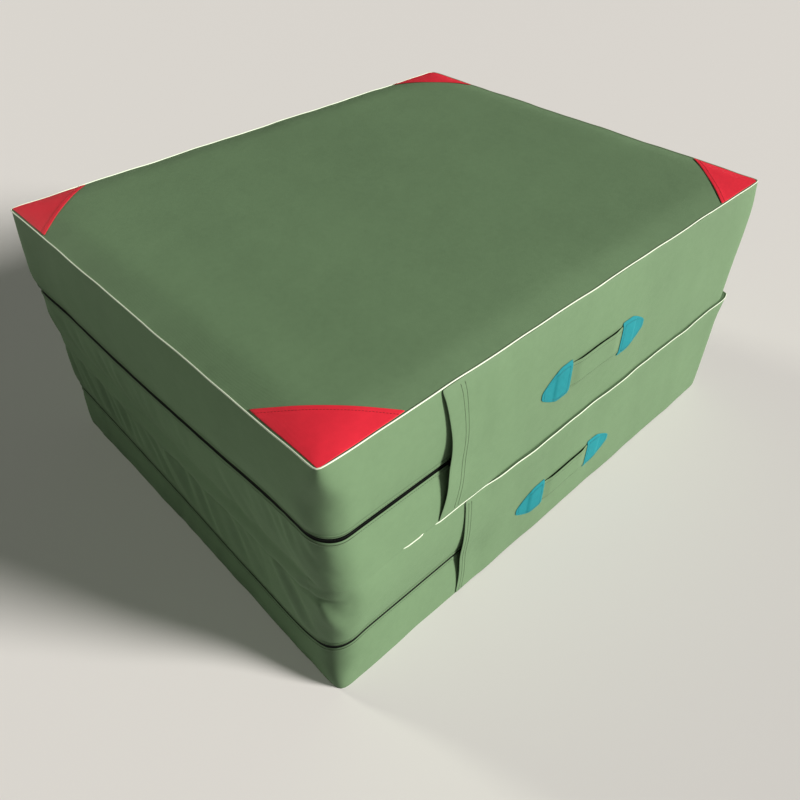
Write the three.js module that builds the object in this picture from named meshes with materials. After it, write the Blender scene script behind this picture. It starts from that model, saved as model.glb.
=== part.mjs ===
// A folding crash landing mat: two foam blocks in zipped canvas covers, joined along one edge by a
// fabric hinge and folded shut into a stack. Millimetres, +Z up. The origin is on the floor, under
// the middle of the upper half. The hinge edge is at -X, the open edge at +X, and "front" is -Y.
import * as THREE from 'three';

// Driving dimensions
const LENGTH = 1500; // upper half along X, between the centre lines of its piping
const WIDTH = 1215; // upper half along Y, between the centre lines of its piping
const FOLDED_HEIGHT = 720; // both halves and the corner patches, folded shut
const LOWER_HEIGHT = 350; // the lower half, pressed down a little by the upper one
const LOWER_EXTRA_LENGTH = 28; // how far the lower half reaches past the upper one at the open edge
const LOWER_LIP = 10; // how far the lower half's piped edge stands out past its walls
const FRONT_CORNER_RADIUS = 75; // vertical corners of the zipped hinge end
const BACK_CORNER_RADIUS = 30;
const SHARP_RADIUS = 4; // every other corner of a panel

const CLOTH = 2; // canvas with its seam turnings
const TRIM = 1.5; // a single layer of canvas or webbing sewn on top
const GAP = 0.3; // between pieces that touch
const PIPING_RADIUS = 3;
const PIPING_BEVEL = 1.5;
const FIRM_FOAM_HEIGHT = 50; // firm sheet on the landing side of each foam block

const ZIPPER_WIDTH = 10;
const SLIDER_LENGTH = 18;
const SLIDER_WIDTH = 13;
const SLIDER_THICKNESS = 5;
const SLIDER_WAIST = 0.75; // width at the middle and at the tail, as a share of the front's
const SLIDER_TAIL = 0.9;
const PULL_LENGTH = 28;
const PULL_WIDTH = 8;
const PULL_THICKNESS = 1.2;
const SLIDER_INSET = 34; // from the flap's free edge to the parked slider
const FLAP_LENGTH = 130; // the free end of a side wall, which hides the end of the zipper
const FRONT_FLAP_STANDOFF = 16; // at the zipper, over the slider
const BACK_FLAP_STANDOFF = 4;
const FLAP_COLUMNS = 10;
const FLAP_ROWS = 12;

const HANDLE_HEIGHT = 78;
const HANDLE_THICKNESS = 3;
const HANDLE_RISE = 11; // room for fingers between the strap and the wall
const HANDLE_RAMP = 0.55; // share of half the grip over which the strap rises
const HANDLE_FOOT = 54; // the strap's sewn end, under a patch
const HANDLE_STEPS = 16;
const PATCH_HEIGHT = 98;
const PATCH_SHOULDER = 56; // from the patch's straight edge to where it starts to taper
const PATCH_LENGTH = 104;
const PATCH_TIP = 20; // height of the blunt outer end

const CORNER_PATCH_X = 187;
const CORNER_PATCH_Y = 182;

const HINGE_STRIP_BELOW = 44; // the hinge strip's reach onto each half, from the fold line
const HINGE_STRIP_ABOVE = 22;

const ARC_STEPS = 8;

const TOP_FACE = FOLDED_HEIGHT - TRIM - GAP;
const WALL_INSET = PIPING_RADIUS + GAP; // from a piping centre line to the wall's outer face

// What differs between the two halves. Heights are measured from the half's own underside.
const LOWER = {
  name: 'lower',
  base: 0,
  height: LOWER_HEIGHT,
  length: LENGTH + LOWER_EXTRA_LENGTH,
  outerPanel: 'base_panel',
  outerPanelIsTop: false,
  outerCornerRadius: 25,
  lip: LOWER_LIP,
  zipperHeight: 150,
  flapX: -383,
  handleX: 10,
  handleHeight: 152,
  handleGrip: 186,
};
const UPPER = {
  name: 'upper',
  base: LOWER_HEIGHT + GAP,
  height: TOP_FACE - LOWER_HEIGHT - GAP,
  length: LENGTH,
  outerPanel: 'top_panel',
  outerPanelIsTop: true,
  outerCornerRadius: SHARP_RADIUS,
  lip: 0,
  zipperHeight: 153,
  flapX: -460,
  handleX: 41,
  handleHeight: 170,
  handleGrip: 195,
};

function finish(color, roughness, metalness = 0) {
  return new THREE.MeshStandardMaterial({ color, roughness, metalness });
}

const canvas = () => finish(0x7f9a70, 0.62);
const redCanvas = () => finish(0xd02532, 0.6);
const tealCanvas = () => finish(0x2fa3b5, 0.65);
const pipingPlastic = () => finish(0xe6f2dc, 0.4);
const zipperNylon = () => finish(0x141a17, 0.5);
const darkMetal = () => finish(0x2a2c2b, 0.35, 0.9);
const softFoam = () => finish(0xe9e0b8, 0.95);
const firmFoam = () => finish(0xd9dcdc, 0.9);

function named(name, geometry, material, x = 0, y = 0, z = 0) {
  const mesh = new THREE.Mesh(geometry, material);
  mesh.name = name;
  mesh.position.set(x, y, z);
  return mesh;
}

function block(name, material, low, high) {
  const size = high.map((value, i) => value - low[i]);
  const middle = high.map((value, i) => (value + low[i]) / 2);
  return named(name, new THREE.BoxGeometry(...size), material, ...middle);
}

// Outline, seen from above, of a strip that runs along two sides and one end of a rectangle.
// It is open at openX and closed, with rounded corners, at closedX. Front is -Y.
function stripOutline(openX, closedX, halfWidth, thickness, frontRadius, backRadius) {
  const side = Math.sign(closedX - openX);
  const open = openX * side;
  const closed = closedX * side;
  const quarter = Math.PI / 2;
  const front = [closed - frontRadius, frontRadius - halfWidth];
  const back = [closed - backRadius, halfWidth - backRadius];
  const shape = new THREE.Shape();
  shape.moveTo(open, -halfWidth);
  shape.lineTo(front[0], -halfWidth);
  shape.absarc(front[0], front[1], frontRadius, -quarter, 0, false);
  shape.absarc(back[0], back[1], backRadius, 0, quarter, false);
  shape.lineTo(open, halfWidth);
  shape.lineTo(open, halfWidth - thickness);
  shape.lineTo(back[0], halfWidth - thickness);
  shape.absarc(back[0], back[1], backRadius - thickness, quarter, 0, true);
  shape.absarc(front[0], front[1], frontRadius - thickness, 0, -quarter, true);
  shape.lineTo(open, -halfWidth + thickness);
  const points = shape.getPoints(ARC_STEPS);
  return new THREE.Shape(points.map((point) => new THREE.Vector2(point.x * side, point.y)));
}

function extruded(outline, depth) {
  return new THREE.ExtrudeGeometry(outline, { depth, bevelEnabled: false, curveSegments: ARC_STEPS });
}

// Piping with a rounded section, from an outline seen from above that is one bevel short all round.
function pipingBead(outline) {
  return new THREE.ExtrudeGeometry(outline, {
    depth: 2 * (PIPING_RADIUS - PIPING_BEVEL),
    bevelThickness: PIPING_BEVEL,
    bevelSize: PIPING_BEVEL,
    bevelSegments: 2,
    curveSegments: ARC_STEPS,
  });
}

// The foam block's outline. It steps in by a layer of canvas where the zipper boxing lies under
// the side walls, and its vertical corners are round at the hinge end.
function foamOutline(hingeX, stepX, openX, narrow, wide, frontRadius, backRadius) {
  const shape = new THREE.Shape();
  shape.moveTo(stepX, -narrow);
  shape.lineTo(stepX, -wide);
  shape.lineTo(openX, -wide);
  shape.lineTo(openX, wide);
  shape.lineTo(stepX, wide);
  shape.lineTo(stepX, narrow);
  const back = [hingeX + backRadius, narrow - backRadius];
  const front = [hingeX + frontRadius, frontRadius - narrow];
  shape.absarc(back[0], back[1], backRadius, Math.PI / 2, Math.PI, false);
  shape.absarc(front[0], front[1], frontRadius, Math.PI, 1.5 * Math.PI, false);
  return shape;
}

// A panel's outline, with its own corner radii at the hinge end.
function panelOutline(hingeX, openX, halfWidth, frontRadius, backRadius) {
  const quarter = Math.PI / 2;
  const shape = new THREE.Shape();
  const front = [hingeX + frontRadius, frontRadius - halfWidth];
  const back = [hingeX + backRadius, halfWidth - backRadius];
  const openCentre = [openX - SHARP_RADIUS, halfWidth - SHARP_RADIUS];
  shape.absarc(front[0], front[1], frontRadius, 2 * quarter, 3 * quarter, false);
  shape.absarc(openCentre[0], -openCentre[1], SHARP_RADIUS, 3 * quarter, 4 * quarter, false);
  shape.absarc(openCentre[0], openCentre[1], SHARP_RADIUS, 0, quarter, false);
  shape.absarc(back[0], back[1], backRadius, quarter, 2 * quarter, false);
  return shape;
}

// A side wall whose free end, towards -X, stands off over the zipper and is sewn down above and
// below it. outward is -1 for the front wall and 1 for the back one.
function sideWall(name, half, innerFace, endX, outward, standoff) {
  const low = CLOTH + GAP;
  const high = half.height - CLOTH - GAP;
  const geometry = new THREE.BoxGeometry(1, CLOTH, high - low, FLAP_COLUMNS, 1, FLAP_ROWS);
  const corners = geometry.attributes.position;
  for (let i = 0; i < corners.count; i += 1) {
    const column = Math.round((corners.getX(i) + 0.5) * FLAP_COLUMNS);
    const along = (column / (FLAP_COLUMNS - 1)) * FLAP_LENGTH;
    const isEnd = column === FLAP_COLUMNS;
    const z = corners.getZ(i) + (low + high) / 2;
    const reach = z < half.zipperHeight ? half.zipperHeight - low : high - half.zipperHeight;
    const upDown = 1 - ((z - half.zipperHeight) / reach) ** 2;
    const free = isEnd ? 0 : 1 - THREE.MathUtils.smoothstep(along, 0, FLAP_LENGTH);
    corners.setX(i, isEnd ? endX : half.flapX + along);
    corners.setY(i, outward * (innerFace + CLOTH / 2 + standoff * free * upDown) + corners.getY(i));
    corners.setZ(i, z);
  }
  return named(name, geometry, canvas());
}

// A carrying strap, seen from above: two sewn feet and a raised middle.
function handleStrap(name, half, wallFace, outward) {
  const reach = half.handleGrip / 2;
  const outerSide = [];
  const innerSide = [];
  for (let i = 0; i <= HANDLE_STEPS; i += 1) {
    const x = -reach + (2 * reach * i) / HANDLE_STEPS;
    const rise = HANDLE_RISE * THREE.MathUtils.smoothstep(reach - Math.abs(x), 0, HANDLE_RAMP * reach);
    innerSide.push(new THREE.Vector2(x, outward * rise));
    outerSide.push(new THREE.Vector2(x, outward * (rise + HANDLE_THICKNESS)));
  }
  const foot = reach + HANDLE_FOOT;
  const outline = new THREE.Shape([
    new THREE.Vector2(-foot, 0),
    ...innerSide,
    new THREE.Vector2(foot, 0),
    new THREE.Vector2(foot, outward * HANDLE_THICKNESS),
    ...outerSide.reverse(),
    new THREE.Vector2(-foot, outward * HANDLE_THICKNESS),
  ]);
  const y = outward * (wallFace + GAP);
  const base = half.handleHeight - HANDLE_HEIGHT / 2;
  return named(name, extruded(outline, HANDLE_HEIGHT), canvas(), half.handleX, y, base);
}

// A reinforcing patch over one foot of a strap: straight at the grip, tapered to a blunt point.
function handlePatch(name, half, wallFace, outward, away) {
  const middle = PATCH_HEIGHT / 2;
  const outline = new THREE.Shape([
    new THREE.Vector2(0, -middle),
    new THREE.Vector2(away * PATCH_SHOULDER, -middle),
    new THREE.Vector2(away * PATCH_LENGTH, -PATCH_TIP / 2),
    new THREE.Vector2(away * PATCH_LENGTH, PATCH_TIP / 2),
    new THREE.Vector2(away * PATCH_SHOULDER, middle),
    new THREE.Vector2(0, middle),
  ]);
  const x = half.handleX + away * (half.handleGrip / 2);
  const y = outward * (wallFace + HANDLE_THICKNESS + 2 * GAP);
  const patch = named(name, extruded(outline, TRIM), tealCanvas(), x, y, half.handleHeight);
  patch.rotation.x = -outward * (Math.PI / 2);
  return patch;
}

// The zipper's slider, a waisted body on the front leg of the zipper, under the flap.
function zipperSlider(half, zipperFace) {
  const long = SLIDER_LENGTH / 2;
  const wide = SLIDER_WIDTH / 2;
  const outline = new THREE.Shape([
    new THREE.Vector2(-long, -wide),
    new THREE.Vector2(0, -SLIDER_WAIST * wide),
    new THREE.Vector2(long, -SLIDER_TAIL * wide),
    new THREE.Vector2(long, SLIDER_TAIL * wide),
    new THREE.Vector2(0, SLIDER_WAIST * wide),
    new THREE.Vector2(-long, wide),
  ]);
  const x = half.flapX + SLIDER_INSET;
  const slider = named(`${half.name}_zip_slider`, extruded(outline, SLIDER_THICKNESS), darkMetal());
  slider.position.set(x, -(zipperFace + GAP), half.zipperHeight);
  slider.rotation.x = Math.PI / 2;
  return slider;
}

// The tab that hangs from the slider's loop.
function zipperPull(half, zipperFace) {
  const side = PULL_WIDTH / 2;
  const outline = new THREE.Shape();
  outline.absarc(0, 0, side, 0, Math.PI, false);
  outline.absarc(0, side - PULL_LENGTH, side, Math.PI, 2 * Math.PI, false);
  const pull = named(`${half.name}_zip_pull`, extruded(outline, PULL_THICKNESS), darkMetal());
  const sliderFace = zipperFace + SLIDER_THICKNESS + GAP;
  pull.position.set(half.flapX + SLIDER_INSET, -(sliderFace + GAP), half.zipperHeight);
  pull.rotation.x = Math.PI / 2;
  return pull;
}

function zipperRun(name, material, outline, low, high) {
  return named(name, extruded(outline, high - low), material, 0, 0, low);
}

function makeHalf(half) {
  const group = new THREE.Group();
  group.position.z = half.base;
  const hingeX = -LENGTH / 2 + WALL_INSET;
  const openX = -LENGTH / 2 + half.length - WALL_INSET;
  const wallFace = WIDTH / 2 - WALL_INSET;
  const underWall = wallFace - CLOTH - GAP;
  const returnX = half.flapX + FLAP_LENGTH;
  const low = CLOTH + GAP;
  const high = half.height - CLOTH - GAP;
  const piece = (name) => `${half.name}_${name}`;

  // Foam: the firm sheet lies on the landing side, which faces the other half
  const foam = foamOutline(
    hingeX + CLOTH + GAP,
    returnX + GAP,
    openX - CLOTH - GAP,
    underWall - CLOTH - GAP,
    underWall,
    FRONT_CORNER_RADIUS - CLOTH - GAP,
    BACK_CORNER_RADIUS - CLOTH - GAP,
  );
  const softHeight = high - low - FIRM_FOAM_HEIGHT - GAP;
  const softBase = half.outerPanelIsTop ? low + FIRM_FOAM_HEIGHT + GAP : low;
  const firmBase = half.outerPanelIsTop ? low : low + softHeight + GAP;
  group.add(named(piece('foam_core'), extruded(foam, softHeight), softFoam(), 0, 0, softBase));
  group.add(named(piece('firm_foam_sheet'), extruded(foam, FIRM_FOAM_HEIGHT), firmFoam(), 0, 0, firmBase));

  // Panels: the lower half's inner panel reaches out to its piped lip
  const outerCorner = half.outerCornerRadius;
  const outerPanel = panelOutline(hingeX, openX, wallFace, outerCorner, outerCorner);
  const innerPanel = panelOutline(
    hingeX,
    openX + half.lip,
    wallFace + half.lip,
    FRONT_CORNER_RADIUS,
    BACK_CORNER_RADIUS,
  );
  const panelAbove = half.height - CLOTH;
  const outerBase = half.outerPanelIsTop ? panelAbove : 0;
  const innerBase = half.outerPanelIsTop ? 0 : panelAbove;
  group.add(named(piece(half.outerPanel), extruded(outerPanel, CLOTH), canvas(), 0, 0, outerBase));
  group.add(named(piece('inner_panel'), extruded(innerPanel, CLOTH), canvas(), 0, 0, innerBase));

  // Walls
  const innerFace = wallFace - CLOTH;
  group.add(sideWall(piece('front_wall'), half, innerFace, openX - CLOTH - GAP, -1, FRONT_FLAP_STANDOFF));
  group.add(sideWall(piece('back_wall'), half, innerFace, openX - CLOTH - GAP, 1, BACK_FLAP_STANDOFF));
  group.add(block(piece('end_wall'), canvas(), [openX - CLOTH, -wallFace, low], [openX, wallFace, high]));

  // Zipped boxing round the hinge end
  const boxing = stripOutline(
    returnX,
    hingeX,
    underWall,
    CLOTH,
    FRONT_CORNER_RADIUS,
    BACK_CORNER_RADIUS,
  );
  const zipperLow = half.zipperHeight - ZIPPER_WIDTH / 2;
  const zipperHigh = half.zipperHeight + ZIPPER_WIDTH / 2;
  group.add(zipperRun(piece('zip_wall_below'), canvas(), boxing, low, zipperLow - GAP));
  group.add(zipperRun(piece('zipper'), zipperNylon(), boxing, zipperLow, zipperHigh));
  group.add(zipperRun(piece('zip_wall_above'), canvas(), boxing, zipperHigh + GAP, high));
  group.add(zipperSlider(half, underWall));
  group.add(zipperPull(half, underWall));

  // Carrying handles, one on each long side
  for (const [side, outward] of [['front', -1], ['back', 1]]) {
    group.add(handleStrap(piece(`${side}_handle`), half, wallFace, outward));
    for (const [end, away] of [['left', -1], ['right', 1]]) {
      group.add(handlePatch(piece(`${side}_handle_patch_${end}`), half, wallFace, outward, away));
    }
  }
  return group;
}

// A loop of piping round the top panel.
function topPiping() {
  const edge = PIPING_RADIUS - PIPING_BEVEL;
  const x = LENGTH / 2;
  const y = WIDTH / 2;
  const loop = (grow) => [
    new THREE.Vector2(-x - grow, -y - grow),
    new THREE.Vector2(x + grow, -y - grow),
    new THREE.Vector2(x + grow, y + grow),
    new THREE.Vector2(-x - grow, y + grow),
  ];
  const outline = new THREE.Shape(loop(edge));
  outline.holes.push(new THREE.Path(loop(-edge)));
  const base = FOLDED_HEIGHT - 2 * PIPING_RADIUS + PIPING_BEVEL;
  return named('upper_top_piping', pipingBead(outline), pipingPlastic(), 0, 0, base);
}

// Piping along the three open edges of the lower half's inner panel.
function lipPiping() {
  const edge = PIPING_RADIUS - PIPING_BEVEL;
  const openX = LENGTH / 2 + LOWER_EXTRA_LENGTH + LOWER_LIP + edge;
  const halfWidth = WIDTH / 2 + LOWER_LIP + edge;
  const hingeEnd = -LENGTH / 2 + FRONT_CORNER_RADIUS;
  const corner = 2 * edge + 1;
  const outline = stripOutline(hingeEnd, openX, halfWidth, 2 * edge, corner, corner);
  const base = LOWER_HEIGHT - PIPING_RADIUS - edge;
  return named('lower_lip_piping', pipingBead(outline), pipingPlastic(), 0, 0, base);
}

// A triangular patch sewn over one corner of the top panel.
function cornerPatch(name, signX, signY) {
  const x = signX * (LENGTH / 2 - WALL_INSET);
  const y = signY * (WIDTH / 2 - WALL_INSET);
  const outline = new THREE.Shape([
    new THREE.Vector2(0, 0),
    new THREE.Vector2(-signX * CORNER_PATCH_X, 0),
    new THREE.Vector2(0, -signY * CORNER_PATCH_Y),
  ]);
  return named(name, extruded(outline, TRIM), redCanvas(), x, y, TOP_FACE + GAP);
}

// The fabric hinge: a strip across the fold line, sewn to both halves at the hinge end.
function hingeStrip() {
  const outerX = -LENGTH / 2 + WALL_INSET - GAP;
  const reach = WIDTH / 2 - FRONT_CORNER_RADIUS - WALL_INSET;
  return block(
    'fold_hinge_strip',
    canvas(),
    [outerX - CLOTH, -reach, LOWER_HEIGHT - HINGE_STRIP_BELOW],
    [outerX, reach, LOWER_HEIGHT + HINGE_STRIP_ABOVE],
  );
}

const mat = new THREE.Group();
mat.add(makeHalf(LOWER));
mat.add(makeHalf(UPPER));
mat.add(topPiping());
mat.add(lipPiping());
mat.add(cornerPatch('corner_patch_front_hinge', -1, -1));
mat.add(cornerPatch('corner_patch_front_open', 1, -1));
mat.add(cornerPatch('corner_patch_back_open', 1, 1));
mat.add(cornerPatch('corner_patch_back_hinge', -1, 1));
mat.add(hingeStrip());

export default mat;
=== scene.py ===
"""The looks of a folding crash landing mat, built round its CAD frame. Metres, +Z up.

The mat is two foam halves in zipped canvas covers, folded shut. The hinge edge is at -X, the open
edge at +X and the front at -Y.
"""
import math

import bmesh
import bpy
import numpy as np
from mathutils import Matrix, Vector
from mathutils.bvhtree import BVHTree


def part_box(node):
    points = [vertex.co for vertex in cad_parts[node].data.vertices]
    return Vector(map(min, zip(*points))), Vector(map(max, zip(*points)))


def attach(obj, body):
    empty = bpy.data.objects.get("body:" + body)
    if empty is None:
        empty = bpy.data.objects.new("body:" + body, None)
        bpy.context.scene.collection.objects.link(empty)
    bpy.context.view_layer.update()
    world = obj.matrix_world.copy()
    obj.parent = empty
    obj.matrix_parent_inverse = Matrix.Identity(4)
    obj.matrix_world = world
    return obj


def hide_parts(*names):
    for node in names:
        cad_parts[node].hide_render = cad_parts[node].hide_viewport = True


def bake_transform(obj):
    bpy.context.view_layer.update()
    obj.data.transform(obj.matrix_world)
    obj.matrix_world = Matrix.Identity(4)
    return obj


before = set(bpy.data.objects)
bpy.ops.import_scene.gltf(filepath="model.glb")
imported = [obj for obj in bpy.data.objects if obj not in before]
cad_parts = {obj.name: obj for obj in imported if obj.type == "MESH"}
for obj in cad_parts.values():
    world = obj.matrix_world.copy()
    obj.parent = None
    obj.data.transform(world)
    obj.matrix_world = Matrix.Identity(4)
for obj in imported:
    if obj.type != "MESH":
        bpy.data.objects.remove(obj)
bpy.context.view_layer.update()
MM = 0.001

# Cover shape
LATTICE_STEP = 14 * MM
HEM_STEP = 7 * MM  # rows of the lattice near the hinge cloth's hem
FRONT_CORNER = (56 * MM, 62 * MM)  # the hinge end's vertical corners, along X and along Y
BACK_CORNER = (14 * MM, 14 * MM)
OPEN_CORNER = 7 * MM
TOP_CORNER_SHARE = 0.08  # of the corner radius, left at the piped top edge
BASE_CORNER_SHARE = 0.10
CORNER_OPENS_OVER = 120 * MM  # of height
EDGE_FADE = 30 * MM
ZIP_GROOVE = 11 * MM  # half the height of the channel that a zipper lies in
PINNED_BY_ZIP = 30 * MM  # the height on either side of a zipper that barely swells at the front
SWELL_LIMIT = 5 * MM  # how far the cloth simulation may move a point
CLOTH_FRAMES = 20
CREASE_ANGLE = math.radians(50)
BACK_BELLY = 8 * MM
FRONT_BASE_BELLY = 7 * MM

# Top panel
CROWN = 7 * MM
HINGE_SIDE_CROWN = 4 * MM
CROWN_RUN = 24 * MM
DOME = 8 * MM
DOME_REACH = (750 * MM, 610 * MM)  # from the middle, along X and along Y
SWELL = 2.5 * MM

# Folds of the loose cover round the hinge end
FOLD_SPACING = 62 * MM
FOLD_LEAN = (0.35, 0.8)
FOLD_WIDTH = (10 * MM, 16 * MM)
FOLD_REACH = (45 * MM, 95 * MM)
UPPER_FOLD_DEPTH = 6 * MM
LOWER_FOLD_DEPTH = 11 * MM
PLEAT_PITCH = 37 * MM
PLEATS_AT = -470 * MM
PLEAT_DEPTH = 6.4 * MM
HEM_GROOVE = 9 * MM

# Walls and trim
WALL_CLOTH = 1.6 * MM
WALL_GAP = 0.5 * MM
PIPING_RADIUS = 1.5 * MM
WAVE_SCALE = 0.314  # of a wave texture, for one band a metre


# -------- small maths

def smooth(x, low, high):
    """Smooth step from 0 at low to 1 at high."""
    t = np.clip((np.asarray(x, float) - low) / (high - low), 0, 1)
    return t * t * (3 - 2 * t)


def curve_through(knots, x):
    """A smooth curve through (x, value) knots, by cubic pieces."""
    kx, ky = (np.array(c, float) for c in zip(*knots))
    slope = np.gradient(ky, kx)
    x = np.clip(x, kx[0], kx[-1])
    i = np.clip(np.searchsorted(kx, x) - 1, 0, len(kx) - 2)
    width = kx[i + 1] - kx[i]
    t = (x - kx[i]) / width
    start = ky[i] * (1 + 2 * t) * (1 - t) ** 2 + slope[i] * width * t * (1 - t) ** 2
    end = ky[i + 1] * t * t * (3 - 2 * t) + slope[i + 1] * width * t * t * (t - 1)
    return start + end


def ripple(along, seed, lengths=(0.31, 0.173, 0.097)):
    """A gentle irregular wave from -1 to 1 along a seam, the same on each run."""
    turns = [2 * math.pi * (along / length + 0.37 * seed * (n + 1)) for n, length in enumerate(lengths)]
    return sum(np.sin(turn) / (n + 1) for n, turn in enumerate(turns)) / 1.6


# -------- meshes

def new_object(name, vertices, faces, material=None):
    mesh = bpy.data.meshes.new(name)
    mesh.from_pydata([tuple(v) for v in vertices], [], [tuple(f) for f in faces])
    mesh.validate()
    mesh.shade_smooth()
    if material:
        mesh.materials.append(material)
    piece = bpy.data.objects.new(name, mesh)
    bpy.context.scene.collection.objects.link(piece)
    return piece


def apply_modifiers(piece):
    graph = bpy.context.evaluated_depsgraph_get()
    mesh = bpy.data.meshes.new_from_object(piece.evaluated_get(graph))
    old = piece.data
    piece.modifiers.clear()
    piece.data = mesh
    bpy.data.meshes.remove(old)


def coordinates(piece):
    flat = np.zeros(len(piece.data.vertices) * 3, np.float32)
    piece.data.vertices.foreach_get("co", flat)
    return flat.reshape(-1, 3).astype(float)


def set_coordinates(piece, points):
    piece.data.vertices.foreach_set("co", points.astype(np.float32).ravel())
    piece.data.update()


def surface_tree(piece):
    polygons = [tuple(p.vertices) for p in piece.data.polygons]
    return BVHTree.FromPolygons([tuple(v) for v in coordinates(piece)], polygons)


def cast(tree, point, outward, reach=0.12):
    """The surface point that a ray from outside meets, and the surface's normal there."""
    outward = Vector(outward).normalized()
    start = Vector(point) + outward * reach
    hit, normal, _, _ = tree.ray_cast(start, -outward, 2 * reach)
    if hit is None:
        return np.array(point, float), np.array(outward)
    if normal.dot(outward) < 0:
        normal = -normal
    return np.array(hit), np.array(normal)


def unit(vectors):
    return vectors / np.maximum(np.linalg.norm(vectors, axis=-1, keepdims=True), 1e-12)


def smoothed(values, rounds=2, closed=False):
    """Values along a run, each averaged with its neighbours."""
    values = np.array(values, float)
    for _ in range(rounds):
        ahead, behind = np.roll(values, -1, 0), np.roll(values, 1, 0)
        if not closed:
            ahead[-1], behind[0] = values[-1], values[0]
        values = (ahead + 2 * values + behind) / 4
    return values


def tangents(points, closed=False):
    if closed:
        return unit(np.roll(points, -1, 0) - np.roll(points, 1, 0))
    return unit(np.gradient(points, axis=0))


def plan_normals(points, closed=False):
    """Level normals to the right of a run, seen from above."""
    along = tangents(points, closed)
    return unit(np.column_stack([along[:, 1], -along[:, 0], np.zeros(len(points))]))


def grid_faces(rows, columns, closed_rows=False, closed_columns=False, first=0):
    """Quads of a grid of rows by columns vertices."""
    faces = []
    for r in range(rows if closed_rows else rows - 1):
        for c in range(columns if closed_columns else columns - 1):
            r2, c2 = (r + 1) % rows, (c + 1) % columns
            faces.append([first + r * columns + c, first + r * columns + c2,
                          first + r2 * columns + c2, first + r2 * columns + c])
    return faces


def sweep(name, points, normals, section, material, closed=False):
    """A solid of the given section along a run. A section point is (across, out of the surface)."""
    points, normals = np.array(points, float), unit(np.array(normals, float))
    along = tangents(points, closed)
    across = unit(np.cross(along, normals))
    out = unit(np.cross(across, along))
    section = np.array(section, float)
    rings = (points[:, None] + across[:, None] * section[None, :, :1] + out[:, None] * section[None, :, 1:])
    count = len(section)
    faces = grid_faces(len(points), count, closed_rows=closed, closed_columns=True)
    if not closed:
        faces.append(list(range(count)))
        faces.append([(len(points) - 1) * count + i for i in reversed(range(count))])
    piece = new_object(name, rings.reshape(-1, 3), faces, material)
    tidy_mesh(piece)
    return piece


def round_section(radius, sides=12):
    turn = np.linspace(0, 2 * math.pi, sides, endpoint=False)
    return np.column_stack([radius * np.cos(turn), radius * np.sin(turn)])


def resample(points, step, closed=False):
    """Points at even steps along a run."""
    points = np.array(points, float)
    if closed:
        points = np.vstack([points, points[:1]])
    lengths = np.r_[0, np.cumsum(np.linalg.norm(np.diff(points, axis=0), axis=1))]
    count = max(2, int(round(lengths[-1] / step)) + 1)
    at = np.linspace(0, lengths[-1], count)
    made = np.column_stack([np.interp(at, lengths, points[:, i]) for i in range(points.shape[1])])
    return made[:-1] if closed else made


# -------- materials

def node_material(name):
    material = bpy.data.materials.new(name)
    material.use_nodes = True
    tree = material.node_tree
    shader = tree.nodes["Principled BSDF"]
    return material, tree, shader


def add_node(tree, kind, inputs=None, **settings):
    node = tree.nodes.new(kind)
    for key, value in settings.items():
        setattr(node, key, value)
    for key, value in (inputs or {}).items():
        node.inputs[key].default_value = value
    return node


def noise(tree, place, scale, detail=3.0, roughness=0.5):
    node = add_node(tree, "ShaderNodeTexNoise", {"Scale": scale, "Detail": detail, "Roughness": roughness})
    tree.links.new(place, node.inputs["Vector"])
    return node.outputs["Fac"]


def maths(tree, operation, a, b=None):
    node = add_node(tree, "ShaderNodeMath", operation=operation)
    for socket, value in zip(node.inputs, (a, b)):
        if isinstance(value, (int, float)):
            socket.default_value = value
        elif value is not None:
            tree.links.new(value, socket)
    return node.outputs[0]


def ramp(tree, factor, stops):
    node = add_node(tree, "ShaderNodeValToRGB")
    while len(node.color_ramp.elements) < len(stops):
        node.color_ramp.elements.new(0.5)
    for element, (position, color) in zip(node.color_ramp.elements, stops):
        element.position = position
        element.color = (*color, 1)
    tree.links.new(factor, node.inputs["Fac"])
    return node.outputs["Color"]


def shaded(color, factor):
    return tuple(min(1.0, c * factor) for c in color)


def weave(tree, place, threads_per_metre):
    """Height of a plain weave that reads on faces of any direction."""
    total = None
    for direction in ("X", "Y", "Z"):
        wave = add_node(tree, "ShaderNodeTexWave", {"Distortion": 0.6, "Detail": 1.0, "Detail Scale": 0.5},
                        wave_type="BANDS", bands_direction=direction)
        wave.inputs["Scale"].default_value = threads_per_metre * WAVE_SCALE
        tree.links.new(place, wave.inputs["Vector"])
        total = wave.outputs["Fac"] if total is None else maths(tree, "ADD", total, wave.outputs["Fac"])
    return total


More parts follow.
